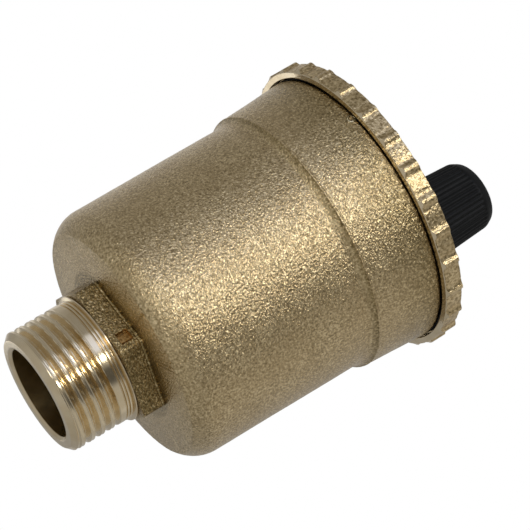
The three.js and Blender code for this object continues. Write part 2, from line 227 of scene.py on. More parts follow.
class Mat:
    def __init__(self, name):
        self.m = bpy.data.materials.new(name)
        self.m.use_nodes = True
        self.t = self.m.node_tree
        self.t.nodes.clear()
        self.out = self.n("ShaderNodeOutputMaterial")
        self.bsdf = self.n("ShaderNodeBsdfPrincipled")
        self.l(self.bsdf.outputs[0], self.out.inputs[0])
        self.co = self.n("ShaderNodeTexCoord").outputs["Object"]

    def n(self, kind, **kw):
        node = self.t.nodes.new(kind)
        for k, v in kw.items():
            setattr(node, k, v)
        return node

    def l(self, a, b):
        self.t.links.new(a, b)

    def noise(self, size_mm, detail=2.0, rough=0.5, vec=None, dist=0.0):
        nd = self.n("ShaderNodeTexNoise")
        nd.inputs["Scale"].default_value = 1.0 / (size_mm * MM)
        nd.inputs["Detail"].default_value = detail
        nd.inputs["Roughness"].default_value = rough
        nd.inputs["Distortion"].default_value = dist
        self.l(vec or self.co, nd.inputs["Vector"])
        return nd.outputs["Fac"]

    def ramp(self, fac, stops, interp="LINEAR"):
        r = self.n("ShaderNodeValToRGB")
        r.color_ramp.interpolation = interp
        e = r.color_ramp.elements
        while len(e) > 1:
            e.remove(e[-1])
        e[0].position, e[0].color = stops[0][0], stops[0][1]
        for p, c in stops[1:]:
            x = e.new(p)
            x.color = c
        self.l(fac, r.inputs[0])
        return r.outputs[0]

    def remap(self, v, a, b, c, d):
        r = self.n("ShaderNodeMapRange")
        r.clamp = True
        r.inputs[1].default_value = a
        r.inputs[2].default_value = b
        r.inputs[3].default_value = c
        r.inputs[4].default_value = d
        self.l(v, r.inputs[0])
        return r.outputs[0]

    def math(self, op, a, b=None):
        r = self.n("ShaderNodeMath", operation=op)
        for i, x in enumerate((a, b)):
            if x is None:
                continue
            if isinstance(x, (int, float)):
                r.inputs[i].default_value = x
            else:
                self.l(x, r.inputs[i])
        return r.outputs[0]

    def mix(self, fac, a, b, blend="MIX"):
        r = self.n("ShaderNodeMix", data_type="RGBA", blend_type=blend)
        for s, x in ((r.inputs[0], fac), (r.inputs[6], a), (r.inputs[7], b)):
            if isinstance(x, (int, float)):
                s.default_value = x
            elif isinstance(x, tuple):
                s.default_value = x
            else:
                self.l(x, s)
        return r.outputs[2]

    def mixf(self, fac, a, b):
        r = self.n("ShaderNodeMix", data_type="FLOAT")
        for s, x in ((r.inputs[0], fac), (r.inputs[2], a), (r.inputs[3], b)):
            if isinstance(x, (int, float)):
                s.default_value = x
            else:
                self.l(x, s)
        return r.outputs[0]

    def bump(self, height, dist_mm, strength=1.0, normal=None):
        b = self.n("ShaderNodeBump")
        b.inputs["Strength"].default_value = strength
        b.inputs["Distance"].default_value = dist_mm * MM
        self.l(height, b.inputs["Height"])
        if normal is not None:
            self.l(normal, b.inputs["Normal"])
        return b.outputs[0]

    def xyz(self):
        s = self.n("ShaderNodeSeparateXYZ")
        self.l(self.co, s.inputs[0])
        return s.outputs


def brass_material(name, mask_fn, bore=None, bump_mm=0.185, size=0.36, dark=None, cast_rough=(0.19, 0.27), pocket=None, nick=None):
    """Sandblasted cast brass, with smooth turned brass where mask_fn says so (1 = turned)."""
    M = Mat(name)
    x, y, z = M.xyz()
    mask = mask_fn(M, x, y, z)
    # casting: colour in soft patches and fine grains
    patch = M.noise(7.0, 3.0, 0.55)
    grain = M.noise(size, 2.0, 0.6)
    cast = M.ramp(grain, [(0.32, srgb(150, 130, 92)), (0.50, srgb(205, 182, 138)), (0.68, srgb(246, 224, 178))])
    cast = M.mix(M.remap(patch, 0.35, 0.7, 0.0, 0.30), cast, srgb(182, 156, 112))
    turned = M.mix(M.remap(M.noise(3.0, 2.0), 0.3, 0.7, 0.0, 1.0), srgb(234, 218, 186), srgb(222, 203, 166))
    # darker casting colour where `dark` says so; on the body this is the hexagon's tone and painted shade
    if dark is not None:
        cast = M.mix(dark(M, x, y, z), cast, M.ramp(grain, [(0.34, srgb(112, 96, 60)), (0.56, srgb(176, 154, 108)), (0.70, srgb(240, 218, 170))]))
    col = M.mix(mask, cast, turned)
    if pocket is not None:
        col = M.mix(M.math("MULTIPLY", pocket(M, x, y, z), 0.9), col, M.ramp(grain, [(0.3, srgb(168, 130, 78)), (0.7, srgb(232, 190, 126))]))
    # painted highlight: a pale colour on the nick's raised edge, which also gets a bump below
    if nick is not None:
        col = M.mix(nick(M, x, y, z), col, M.ramp(grain, [(0.3, srgb(246, 226, 176)), (0.7, srgb(254, 242, 204))]))
    if bore is not None:
        col = M.mix(bore(M, x, y, z), col, M.ramp(M.noise(1.4, 3.0), [(0.35, srgb(186, 164, 118)), (0.65, srgb(204, 182, 136))]))
    M.l(col, M.bsdf.inputs["Base Color"])
    M.bsdf.inputs["Metallic"].default_value = 1.0
    rc = M.remap(M.noise(0.5, 2.0), 0.3, 0.7, cast_rough[0], cast_rough[1])
    rt = M.remap(M.noise(1.2, 2.0), 0.3, 0.7, 0.13, 0.21)
    rough = M.mixf(mask, rc, rt)
    if bore is not None:
        rough = M.mixf(bore(M, x, y, z), rough, 0.27)
    M.l(rough, M.bsdf.inputs["Roughness"])
    # casting grain, and turning lines on the machined faces
    g1 = M.noise(size * 0.94, 2.0, 0.55)
    lines = M.n("ShaderNodeCombineXYZ")
    r2 = M.math("POWER", M.math("ADD", M.math("MULTIPLY", x, x), M.math("MULTIPLY", y, y)), 0.5)
    M.l(r2, lines.inputs[0])
    M.l(z, lines.inputs[2])
    g2 = M.noise(0.10, 1.0, 0.5, vec=lines.outputs[0])
    inv = M.math("SUBTRACT", 1.0, mask)
    if pocket is not None:
        inv = M.math("MULTIPLY", inv, M.math("SUBTRACT", 1.0, M.math("MULTIPLY", pocket(M, x, y, z), 0.8)))
    h = M.math("ADD", M.math("MULTIPLY", g1, inv), M.math("MULTIPLY", M.math("MULTIPLY", g2, 0.03), mask))
    if nick is not None:
        h = M.math("ADD", h, M.math("MULTIPLY", nick(M, x, y, z), 1.1))
    M.l(M.bump(h, bump_mm), M.bsdf.inputs["Normal"])
    return M.m


def body_mask(M, x, y, z):
    low = M.remap(z, 0.01125, 0.01145, 1.0, 0.0)
    r2 = M.math("POWER", M.math("ADD", M.math("MULTIPLY", x, x), M.math("MULTIPLY", y, y)), 0.5)
    inside = M.math("MULTIPLY", M.remap(r2, 0.0081, 0.0083, 1.0, 0.0), M.remap(z, 0.0185, 0.0190, 1.0, 0.0))
    top = M.remap(z, 0.06072, 0.06080, 0.0, 1.0)
    return M.math("MAXIMUM", M.math("MAXIMUM", low, inside), top)


def bore_zone(M, x, y, z):
    r2 = M.math("POWER", M.math("ADD", M.math("MULTIPLY", x, x), M.math("MULTIPLY", y, y)), 0.5)
    return M.math("MULTIPLY", M.remap(r2, 0.00782, 0.00790, 1.0, 0.0), M.remap(z, 0.0002, 0.0006, 0.0, 1.0))


# darker casting colour on the hexagon; painted shade in the corner of the step and on the band before the grip ring
def hex_tone_and_painted_shade(M, x, y, z):
    r2 = M.math("POWER", M.math("ADD", M.math("MULTIPLY", x, x), M.math("MULTIPLY", y, y)), 0.5)
    hexagon = M.math("MULTIPLY", M.remap(r2, 0.0129, 0.0133, 1.0, 0.0), M.remap(z, 0.01545, 0.0156, 1.0, 0.0))
    # painted shade: the corner of the step is darkened where shade falls
    step = M.math("MULTIPLY", M.math("MULTIPLY", M.remap(z, 0.04815, 0.04880, 0.0, 0.8), M.remap(z, 0.04898, 0.04906, 1.0, 0.0)), M.remap(r2, 0.0215, 0.0217, 0.0, 1.0))
    # painted shade: the band next to the grip ring is darkened so the highlight fades toward the ring
    band = M.math("MULTIPLY", M.remap(z, 0.0515, 0.0590, 0.0, 0.7), M.remap(r2, 0.0225, 0.0227, 0.0, 1.0))
    return M.math("MAXIMUM", M.math("MAXIMUM", hexagon, step), band)


def nick_edge_and_painted_highlight(M, x, y, z):
    # the raised edge of the curled nick in front of the grip ring, given a bump and a painted highlight colour
    u = M.math("ADD", M.math("MULTIPLY", x, 0.8643), M.math("MULTIPLY", y, -0.5030))
    out = M.math("ADD", M.math("MULTIPLY", x, -0.5030), M.math("MULTIPLY", y, -0.8643))
    v = M.math("SUBTRACT", z, 0.06025)
    d = M.math("SUBTRACT", M.math("POWER", M.math("ADD", M.math("MULTIPLY", u, u), M.math("MULTIPLY", v, v)), 0.5), 0.00062)
    m = M.remap(M.math("ABSOLUTE", d), 0.00005, 0.00020, 1.0, 0.0)
    return M.math("MULTIPLY", m, M.remap(out, 0.0225, 0.0227, 0.0, 1.0))


def pocket_zone(M, x, y, z):
    across = M.math("ADD", M.math("MULTIPLY", x, 0.9063), M.math("MULTIPLY", y, -0.4226))
    out = M.math("ADD", M.math("MULTIPLY", x, -0.4226), M.math("MULTIPLY", y, -0.9063))
    m = M.math("MULTIPLY", M.remap(across, 0.00312, 0.00322, 0.0, 1.0), M.remap(across, 0.00514, 0.00524, 1.0, 0.0))
    m = M.math("MULTIPLY", m, M.math("MULTIPLY", M.remap(z, 0.01244, 0.01254, 0.0, 1.0), M.remap(z, 0.01448, 0.01458, 1.0, 0.0)))
    return M.math("MULTIPLY", m, M.math("MULTIPLY", M.remap(out, 0.0095, 0.0096, 0.0, 1.0), M.remap(out, 0.01085, 0.01095, 1.0, 0.0)))


def cover_mask(M, x, y, z):
    r2 = M.math("POWER", M.math("ADD", M.math("MULTIPLY", x, x), M.math("MULTIPLY", y, y)), 0.5)
    cone = M.math("SUBTRACT", r2, M.math("ADD", 0.02518, M.math("MULTIPLY", M.math("SUBTRACT", z, 0.0607), 1.2)))
    front = M.remap(M.math("ABSOLUTE", cone), 0.000025, 0.00006, 1.0, 0.0)
    front = M.math("MAXIMUM", front, M.remap(z, 0.06074, 0.06080, 1.0, 0.0))
    under = M.math("MULTIPLY", M.remap(r2, 0.02440, 0.02450, 1.0, 0.0), M.remap(z, 0.0630, 0.0632, 1.0, 0.0))
    return M.math("MAXIMUM", front, under)


def plain(name, color, metallic, rough, grain_mm=0.5, spread=0.06, bump_mm=0.0, bump_size=0.3, color2=None, coat=0.0, spec=None):
    M = Mat(name)
    g = M.noise(grain_mm, 3.0, 0.55)
    c2 = color2 or tuple(min(1.0, c * 1.25) for c in color[:3]) + (1.0,)
    M.l(M.ramp(g, [(0.35, color), (0.65, c2)]), M.bsdf.inputs["Base Color"])
    M.bsdf.inputs["Metallic"].default_value = metallic
    M.l(M.remap(M.noise(grain_mm * 2.3, 2.0), 0.3, 0.7, rough - spread, rough + spread), M.bsdf.inputs["Roughness"])
    if spec is not None:
        M.bsdf.inputs["Specular IOR Level"].default_value = spec
    if bump_mm:
        M.l(M.bump(M.noise(bump_size, 3.0, 0.6), bump_mm), M.bsdf.inputs["Normal"])
    return M.m


MAT = {
    "body": brass_material("cast_brass_body", body_mask, bore_zone, dark=hex_tone_and_painted_shade, pocket=pocket_zone, nick=nick_edge_and_painted_highlight),
    "cover": brass_material("cast_brass_cover", cover_mask, bump_mm=0.13, size=0.5, cast_rough=(0.27, 0.36)),
    "turned_brass": plain("turned_brass", srgb(226, 190, 128), 1.0, 0.22, 2.0, 0.05, 0.004, 0.12, srgb(236, 204, 150)),
    "cap_plastic": plain("cap_plastic", (0.0045, 0.0050, 0.0050, 1), 0.0, 0.52, 0.4, 0.05, 0.006, 0.25, (0.0065, 0.0070, 0.0068, 1), spec=0.18),
    "seal_rubber": plain("seal_rubber", (0.006, 0.0055, 0.005, 1), 0.0, 0.62, 0.6, 0.06, 0.005, 0.2, (0.010, 0.009, 0.008, 1)),
    "fibre_seal": plain("fibre_seal", srgb(140, 52, 40), 0.0, 0.75, 0.4, 0.05, 0.02, 0.25, srgb(166, 70, 52)),
    "stainless": plain("stainless", srgb(196, 197, 199), 1.0, 0.26, 1.2, 0.06, 0.004, 0.15, srgb(212, 213, 214)),
    "float_plastic": plain("float_plastic", srgb(226, 223, 212), 0.0, 0.42, 3.0, 0.06, 0.006, 0.5, srgb(236, 233, 224)),
}


def finish_piece(ob, body, node, mat):
    ob.data.materials.clear()
    ob.data.materials.append(mat)
    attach(ob, body)
    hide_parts(node)
    return ob


# ---------------------------------------------------------------- sizes (millimetres)
PITCH, THREAD_R, DEPTH = 1.814, 10.4775, 1.0
HEX_DEG = -85.0
RIDGE_DEG = -91.8


def cast_noise(amp):
    def f(P):
        return amp * (0.60 * noise(P, 0.42, 11) + 0.30 * noise(P + 17.3, 0.9, 23)) + 0.035 * noise(P, 6.0, 5)
    return f


# ---------------------------------------------------------------- body
def body_profile():
    s = 0.07
    pts = [
        (7.78, 0.45, 0.10, 0.2), (8.25, 0.0, 0.06, 0.2), (9.55, 0.0, 0.08, s), (10.4775, 0.95, 0.0, s),
        (10.4775, 9.66, 0.05, 0.06), (10.20, 9.76, 0.04, 0.06), (10.20, 9.86, 0.04, 0.06), (10.45, 9.96, 0.04, 0.06), (10.45, 10.22, 0.04, 0.06),
        (10.18, 10.32, 0.04, 0.06), (10.18, 10.40, 0.04, 0.06), (10.47, 10.50, 0.05, 0.06), (10.50, 10.76, 0.05, 0.06), (10.30, 10.86, 0.03, 0.05), (10.50, 10.96, 0.04, 0.05),
        (11.02, 11.10, 0.06, 0.06), (11.08, 11.28, 0.06, 0.06), (10.80, 11.40, 0.05, 0.06),
        (10.86, 11.42, 0.0, 0.06), (12.30, 11.44, 0.0, 0.06), (12.75, 11.74, 0.0, 0.07), (13.2, 12.6, 0.0, 0.07), (13.2, 15.46, 0.0, 0.07),
        (10.60, 15.50, 0.15, 0.15), (10.60, 16.12, 0.35, 0.15), (11.6, 16.34, 0.8, 0.15), (13.2, 15.74, 2.5, 0.15), (14.9, 14.78, 1.6, 0.15),
        *[(21.83 - 5.45 + 5.45 * math.sin(q), 14.45 + 5.45 - 5.45 * math.cos(q), 0.0, 0.22) for q in np.linspace(0, math.pi / 2, 25)], (22.17, 47.86, 1.6, 0.2), (22.86, 48.90, 0.12, 0.05), (23.09, 49.05, 0.05, 0.04), (23.12, 49.20, 0.05, 0.04), (23.03, 49.42, 0.2, 0.06), (23.16, 50.6, 0.0, 0.1), (23.30, 53.0, 0.0, 0.22), (23.84, 60.30, 0.0, 0.22), (23.80, 60.62, 0.12, 0.08),
        (23.72, 60.72, 0.0, 0.1), (23.72, 61.2, 0.08, 0.1),
        (22.3, 61.2, 0.05, 0.3), (22.3, 62.1, 0.15, 0.3), (20.75, 62.1, 0.1, 0.3), (20.6, 61.9, 0.0, 0.4),
        (20.6, 55.3, 0.1, 0.6), (19.6, 54.6, 0.3, 1.0), (19.6, 19.2, 4.0, 1.2), (9.6, 19.2, 0.6, 0.6), (7.78, 17.4, 0.3, 0.3), (7.78, 0.45, 0.0),
    ]
    return path(pts)


def body_shape(R, Z, T):
    R = R.copy()
    Z = Z.copy()
    deg = T / RAD
    outer = R > 8.4
    # right-hand helix cut into the neck
    zone = outer & (Z > 0.0) & (Z < 9.6) & (R < 10.6)
    root = 2.30 + PITCH * (deg + 95.0) / 360.0
    u = (Z - root) / PITCH
    w = np.abs(u - np.round(u)) * PITCH           # distance from the groove's centre
    cut = np.clip((0.585 - w) / (0.585 - 0.05), 0, 1)
    cut = np.where(cut < 0.08, 6.25 * cut * cut, cut - 0.04)
    turn = (Z - 7.70) / PITCH                      # the groove runs out before the plain land
    fade = (1 - smooth(0.36, 0.62, turn)) * smooth(0.75, 1.5, Z)
    depth = DEPTH * cut * fade
    # each crest is a little hollow between its two turned edges
    depth = depth + 0.055 * smooth(0.63, 0.80, w) * fade
    R = np.where(zone, np.minimum(R, THREAD_R - depth), R)
    # hexagon
    hexz = outer & (Z > 11.415) & (Z < 15.49) & (R > 10.7)
    rel = np.mod(deg - HEX_DEG, 60.0) - 30.0
    flat = 11.0 / np.cos(rel * RAD)
    flat = softmin(flat, np.full_like(flat, 12.58), 0.22)
    # raised rear rim behind a shallow groove, and the rounded rear edge
    rim = 0.10 * np.exp(-((Z - 14.98) / 0.09) ** 2)
    edge = np.where(Z > 15.3, 0.18 - np.sqrt(np.clip(0.0324 - (Z - 15.3) ** 2, 0, None)), 0.0)
    # square pocket cast into one flat beside its corner
    across = 11.0 * np.tan((np.mod(deg - (HEX_DEG - 30.0) + 180.0, 360.0) - 180.0) * RAD)
    pocket = (smooth(3.12, 3.30, across) * (1 - smooth(5.10, 5.24, across))) * (smooth(12.44, 12.60, Z) * (1 - smooth(14.42, 14.58, Z)))
    pocket = np.where(np.abs(across) < 6.5, pocket, 0.0)
    flat = flat - edge - rim - 0.80 * pocket
    R = np.where(hexz, np.maximum(np.minimum(R, flat), 10.6), R)
    # a small curled nick in the casting just in front of the grip ring
    u = 23.8 * (np.mod(deg + 120.2 + 180.0, 360.0) - 180.0) * RAD
    v = Z - 60.35
    arc = np.abs(np.hypot(u, v) - 0.62)
    nick = np.exp(-(arc / 0.13) ** 2) * smooth(0.15, -0.05, v) * (1 - smooth(0.75, 0.95, np.abs(u)))
    R = np.where((R > 23.0) & (Z > 59.0) & (Z < 60.35), R + 0.16 * nick - 0.10 * np.exp(-(np.hypot(u, v + 0.25) / 0.3) ** 2), R)
    return R, Z


def body_cast(P):
    r = np.hypot(P[:, 0], P[:, 1])
    m = smooth(11.41, 11.6, P[:, 2]) * smooth(10.7, 11.2, r) * (1 - smooth(60.2, 60.6, P[:, 2])) * (1 - (r < 20.7) * (P[:, 2] > 17.5))
    return m * cast_noise(0.020)(P)


body = revolve("body_fine", body_profile(), 720, True, phase=HEX_DEG, shape=body_shape, cast=body_cast, angle=40.0)
finish_piece(body, "housing", "body", MAT["body"])


# ---------------------------------------------------------------- cover
def ring_outline(deg):
    half = 180.0 / 28
    q = np.mod(deg - RIDGE_DEG + half, 360.0) / (2 * half)
    k = np.floor(q)
    # the cast ridges differ a little in height, width and place
    dev = np.sin(k * 12.9898 + 4.1) * 0.5 + np.sin(k * 7.233 + 1.3) * 0.5
    d = np.abs((q - k) * 2 * half - half - 0.35 * dev)
    wid = 1.0 + 0.18 * np.sin(k * 5.17 + 2.2)
    crest = 25.715 - 0.05 * (0.5 + 0.5 * np.sin(k * 3.71)) - 0.03 * (d / 0.85) ** 2
    ridge = crest - 0.50 * smooth(0.70 * wid, 2.6 * wid, d)
    facet = 25.26 / np.cos((half - np.minimum(d, half)) * RAD) - 0.09 * np.exp(-((d - 3.0) / 0.9) ** 2)
    return np.maximum(ridge, facet) + 0.012 * np.exp(-((ridge - facet) / 0.03) ** 2)


def cover_profile():
    pts = [
        (0, 64.5, 0, 1.5), (15.6, 64.5, 0.3, 1.0), (17.6, 62.9, 0.3, 1.0), (17.6, 56.5, 0.1, 1.0), (19.8, 56.5, 0.1, 0.5), (20.3, 57.0, 0.1, 1.0),
        (20.3, 62.4, 0.1, 0.8), (24.26, 62.4, 0.1, 0.4), (24.12, 60.84, 0.03, 0.2), (24.26, 60.7, 0.03, 0.1), (25.18, 60.7, 0.03, 0.06), (25.9, 61.3, 0.0, 0.07),
        (25.9, 63.72, 0.0, 0.09), (25.35, 63.90, 0.0, 0.1), (24.1, 63.90, 0.25, 0.2), (22.9, 64.35, 0.8, 0.3), (20.6, 65.7, 3.0, 0.3), (14.0, 67.2, 12.0, 0.4), (0, 67.6, 0, 0.5),
    ]
    return path(pts)


def cover_shape(R, Z, T):
    deg = T / RAD
    zone = (R > 24.6) & (Z > 60.69) & (Z < 63.91)
    o = ring_outline(deg)
    e = 0.14
    rear = np.where(Z > 63.9 - e, e - np.sqrt(np.clip(e * e - (Z - (63.9 - e)) ** 2, 0, None)), 0.0)
    return np.where(zone, np.minimum(R, o - rear), R), Z


def cover_cast(P):
    r = np.hypot(P[:, 0], P[:, 1])
    cone = 25.18 + (P[:, 2] - 60.7) * 1.2
    m = np.where(r > 24.5, smooth(0.02, 0.12, cone - r), smooth(63.85, 64.2, P[:, 2]) * (P[:, 2] > 63.9) * (r < 23.9))
    m = np.where((r < 18) & (P[:, 2] < 65.2), 0.0, m)
    return m * np.minimum(cast_noise(0.020)(P), 0.012)


cover = revolve("cover_fine", cover_profile(), 28 * (26), False, phase=RIDGE_DEG, shape=cover_shape, cast=cover_cast, angle=32.0)
boss = revolve("boss", path([(0, 65.0, 0, 1), (8.3, 65.0, 0, 0.5), (8.2, 66.75, 0.0, 0.3), (6.6, 67.7, 1.4, 0.2), (6.4, 69.6, 0.35, 0.25), (0, 69.6, 0, 0.5)]), 144, False, cx=8.0)
boolean(cover, boss, "UNION")
for py in (-9, 9):
    boolean(cover, revolve("pad", path([(0, 61.9, 0, 1), (2.6, 61.9, 0.2, 1), (2.6, 65.0, 0, 1), (0, 65.0, 0, 1)]), 48, False, cx=6.0, cy=py), "UNION")
boolean(cover, revolve("hole", path([(0, 60.0, 0, 1), (3.3, 60.0, 0, 1), (3.3, 69.35, 0, 1), (3.8, 69.85, 0, 1), (3.8, 72.0, 0, 1), (0, 72.0, 0, 1)]), 72, False, cx=8.0), "DIFFERENCE")
for py in (-9, 9):
    boolean(cover, revolve("hole", path([(0, 60.0, 0, 1), (1.3, 60.0, 0, 1), (1.3, 63.6, 0, 1), (0, 64.1, 0, 1)]), 32, False, cx=6.0, cy=py), "DIFFERENCE")
cover.data.shade_smooth()
cover.data.set_sharp_from_angle(angle=32 * RAD)
finish_piece(cover, "cover", "cover", MAT["cover"])


# ---------------------------------------------------------------- seals
def torus(name, R, r, z, n=180, m=24, cx=0.0):
    a = np.arange(m) * 2 * math.pi / m
    prof = [(R + r * math.cos(t), z + r * math.sin(t)) for t in a]
    return revolve(name, prof, n, True, cx=cx)


finish_piece(torus("cover_o_ring_fine", 23.42, 0.56, 61.79), "cover_lift_carrier", "cover_o_ring", MAT["seal_rubber"])
finish_piece(revolve("nipple_seal_fine", path([(3.35, 69.66, 0, 0.5), (5.0, 69.66, 0.1, 0.5), (5.0, 70.04, 0.1, 0.5), (3.35, 70.04, 0.1, 0.5), (3.35, 69.66, 0)]), 96, True, cx=8.0), "cover", "nipple_seal", MAT["fibre_seal"])


# ---------------------------------------------------------------- vent cap
def cap_profile():
    return path([
        (0, 80.0, 0, 1.0), (4.35, 80.0, 0.3, 0.6), (4.35, 71.6, 0.1, 0.5), (5.6, 71.6, 0.1, 0.4), (5.6, 70.5, 0.1, 0.3), (6.45, 70.5, 0.12, 0.15),
        (6.69, 70.85, 0.25, 0.12), (6.15, 80.3, 1.6, 0.15), (5.25, 82.1, 1.6, 0.12), (0, 82.1, 0, 0.3),
    ])


def cap_shape(R, Z, T):
    deg = T / RAD
    d = np.mod(deg, 360.0 / 44) / (360.0 / 44) - 0.5
    rib = 0.5 + 0.5 * np.cos(2 * math.pi * d)        # 1 on the rib, 0 in the groove
    depth = 0.20 * smooth(70.9, 71.4, Z) * (1 - smooth(79.5, 80.2, Z)) * (R > 5.7)
    return R - depth * (1 - rib ** 0.7), Z


cap = revolve("vent_cap_fine", cap_profile(), 44 * 10, False, cx=8.0, shape=cap_shape, angle=50.0)
finish_piece(cap, "cap", "vent_cap", MAT["cap_plastic"])
finish_piece(revolve("cap_seal_fine", path([(0, 79.12, 0, 0.5), (4.1, 79.12, 0.15, 0.5), (4.1, 79.9, 0.15, 0.5), (0, 79.9, 0, 0.5)]), 96, False, cx=8.0), "cap_lift_carrier", "cap_seal", MAT["seal_rubber"])

# ---------------------------------------------------------------- inside works
VX = 8.0                                   # axis of the nipple, cap and valve
PX, PZ, TILT, ARM = 13.5, 53.5, 7.35, 19.5   # lever pivot, its tilt at rest and the float arm


def place(ob, m):
    ob.data.transform(m)
    ob.data.update()
    return ob


def thread_on(R0, depth, pitch, z0, z1, half, rmin):
    def f(R, Z, T):
        root = z0 + pitch * (T / RAD) / 360.0
        u = (Z - root) / pitch
        w = np.abs(u - np.round(u)) * pitch
        cut = np.clip((half - w) / (half - 0.04), 0, 1)
        d = depth * cut * smooth(z0 - 0.3 * pitch, z0 + 0.5 * pitch, Z) * (1 - smooth(z1 - 0.5 * pitch, z1 + 0.2 * pitch, Z))
        return np.where((R > rmin) & (R < R0 + 0.01), np.minimum(R, R0 - d), R), Z
    return f


def merge(ob):
    bm = bmesh.new()
    bm.from_mesh(ob.data)
    bmesh.ops.remove_doubles(bm, verts=bm.verts, dist=2e-7)
    bmesh.ops.recalc_face_normals(bm, faces=bm.faces)
    bm.to_mesh(ob.data)
    bm.free()
    return ob


def plate(name, outline, h0, h1, axis="Z", bevel=0.10, segs=2):
    """Flat outline with slightly rounded edges, made thick between h0 and h1 along Z or Y."""
    bm = bmesh.new()
    pts = [np.array(p, float) for p in outline]
    area2 = sum(pts[i - 1][0] * pts[i][1] - pts[i][0] * pts[i - 1][1] for i in range(len(pts)))
    if area2 < 0:
        pts = pts[::-1]
    if axis == "Z":
        lo = [bm.verts.new((p[0] * MM, p[1] * MM, h0 * MM)) for p in pts]
        hi = [bm.verts.new((p[0] * MM, p[1] * MM, h1 * MM)) for p in pts]
    else:
        lo = [bm.verts.new((p[0] * MM, h0 * MM, p[1] * MM)) for p in pts]
        hi = [bm.verts.new((p[0] * MM, h1 * MM, p[1] * MM)) for p in pts]
    n = len(pts)
    bm.faces.new(lo[::-1])
    bm.faces.new(hi)
    for i in range(n):
        j = (i + 1) % n
        bm.faces.new((lo[i], lo[j], hi[j], hi[i]))
    bmesh.ops.recalc_face_normals(bm, faces=bm.faces)
    if bevel:
        rim = [e for e in bm.edges if e.calc_face_angle(0.0) > 1.2]
        bmesh.ops.bevel(bm, geom=rim, offset=bevel * MM, segments=segs, affect="EDGES", profile=0.5, clamp_overlap=True)
    me = bpy.data.meshes.new(name)
    bm.to_mesh(me)
    bm.free()
    ob = bpy.data.objects.new(name, me)
    scene.collection.objects.link(ob)
    return ob


def rounded(points, rad, k=6):
    """Polygon with every corner rounded."""
    out = []
    n = len(points)
    for i in range(n):
        p = np.array(points[i], float)
        a, b = np.array(points[i - 1], float) - p, np.array(points[(i + 1) % n], float) - p
        la, lb = np.linalg.norm(a), np.linalg.norm(b)
        a, b = a / la, b / lb
        half = math.acos(np.clip(a @ b, -1, 1)) / 2
        r = rad[i] if isinstance(rad, (list, tuple)) else rad
        t = min(r / math.tan(half), 0.48 * la, 0.48 * lb)
        r = t * math.tan(half)
        if r < 1e-3:
            out.append(tuple(p))
            continue
        c = p + (a + b) / np.linalg.norm(a + b) * (r / math.sin(half))
        s = p + a * t - c
        e = p + b * t - c
        sweep = math.pi - 2 * half
        sg = 1.0 if s[0] * e[1] - s[1] * e[0] > 0 else -1.0
        for j in range(k + 1):
            q = sweep * j / k * sg
            out.append((c[0] + s[0] * math.cos(q) - s[1] * math.sin(q), c[1] + s[0] * math.sin(q) + s[1] * math.cos(q)))
    return out


def bar_y(name, prof, x, z, n=48):
    """Turned piece whose axis is along Y. prof is [(radius, y, ...)], from one end of the axis to the other."""
    ob = revolve(name, path(prof, step=0.4, arc=0.06), n, False)
    place(ob, Matrix.Translation((x * MM, 0, z * MM)) @ Matrix(((1, 0, 0, 0), (0, 0, 1, 0), (0, -1, 0, 0), (0, 0, 0, 1))))
    return ob


def clip_y(name, r0, r1, y0, y1, x, z, gap=0.30, turn=0.0):
    """Flat spring clip with a gap in one side, on a pin along Y."""
    a = np.linspace(gap, 2 * math.pi - gap, 60) + turn
    outer = [(r1 * math.cos(t), r1 * math.sin(t)) for t in a]
    inner = [(r0 * math.cos(t), r0 * math.sin(t)) for t in a[::-1]]
    ob = plate(name, outer + inner, y0, y1, "Y", 0.05, 1)
    return place(ob, Matrix.Translation((x * MM, 0, z * MM)))


def shade(ob, angle=35):
    ob.data.shade_smooth()
    ob.data.set_sharp_from_angle(angle=angle * RAD)
    return ob


# nipple with its outside thread, seat and flange
nip = path([
    (0.9, 66.25, 0.0), (1.0, 66.2, 0.05), (1.5, 66.2, 0.12), (1.66, 66.55, 0.05), (3.0, 66.55, 0.15), (3.0, 70.1, 0.05), (5.0, 70.1, 0.12), (5.0, 71.3, 0.2), (3.65, 71.3, 0.1), (3.65, 72.0, 0.1),
    (4.0, 72.35, 0.05, 0.07), (4.0, 78.6, 0.05, 0.07), (3.6, 79.0, 0.05), (1.5, 79.0, 0.1), (0.9, 78.4, 0.05), (0.9, 66.25, 0.0)], step=0.4, arc=0.06)
finish_piece(revolve("vent_nipple_fine", nip, 180, True, cx=VX, shape=thread_on(4.0, 0.42, 1.0, 72.6, 78.7, 0.42, 3.7)), "cover", "vent_nipple", MAT["turned_brass"])

# valve: stem, rubber disc, spring retainer and spring
stem = path([(0, 54.25, 0), (0.5, 54.25, 0.1), (0.8, 54.5, 0.1), (0.8, 55.95, 0.04), (0.62, 55.95, 0.04), (0.62, 56.45, 0.04), (0.8, 56.45, 0.04), (0.8, 62.88, 0.25), (2.35, 63.15, 0.12),
             (2.5, 63.3, 0.1), (2.5, 64.3, 0.08), (1.95, 64.3, 0.05), (1.95, 63.7, 0.05), (0, 63.7, 0)], step=0.4, arc=0.06)
finish_piece(revolve("valve_stem_fine", stem, 96, False, cx=VX), "valve", "valve_stem", MAT["turned_brass"])
finish_piece(revolve("valve_seal_fine", path([(0, 63.74, 0), (1.85, 63.74, 0.12), (1.85, 64.75, 0.16), (1.2, 64.75, 0.1), (0, 64.70, 0)], step=0.3, arc=0.05), 72, False, cx=VX), "valve", "valve_seal", MAT["seal_rubber"])
ret = revolve("spring_retainer_fine", path([(0.68, 56.03, 0), (0.72, 56.0, 0), (2.9, 56.0, 0.08), (2.9, 56.4, 0.08), (2.55, 56.4, 0.05), (2.45, 56.3, 0.05), (1.4, 56.3, 0.05), (1.25, 56.4, 0.05), (0.72, 56.4, 0.04), (0.68, 56.03, 0)], step=0.3, arc=0.05), 96, True, cx=VX)
finish_piece(ret, "valve", "spring_retainer", MAT["stainless"])


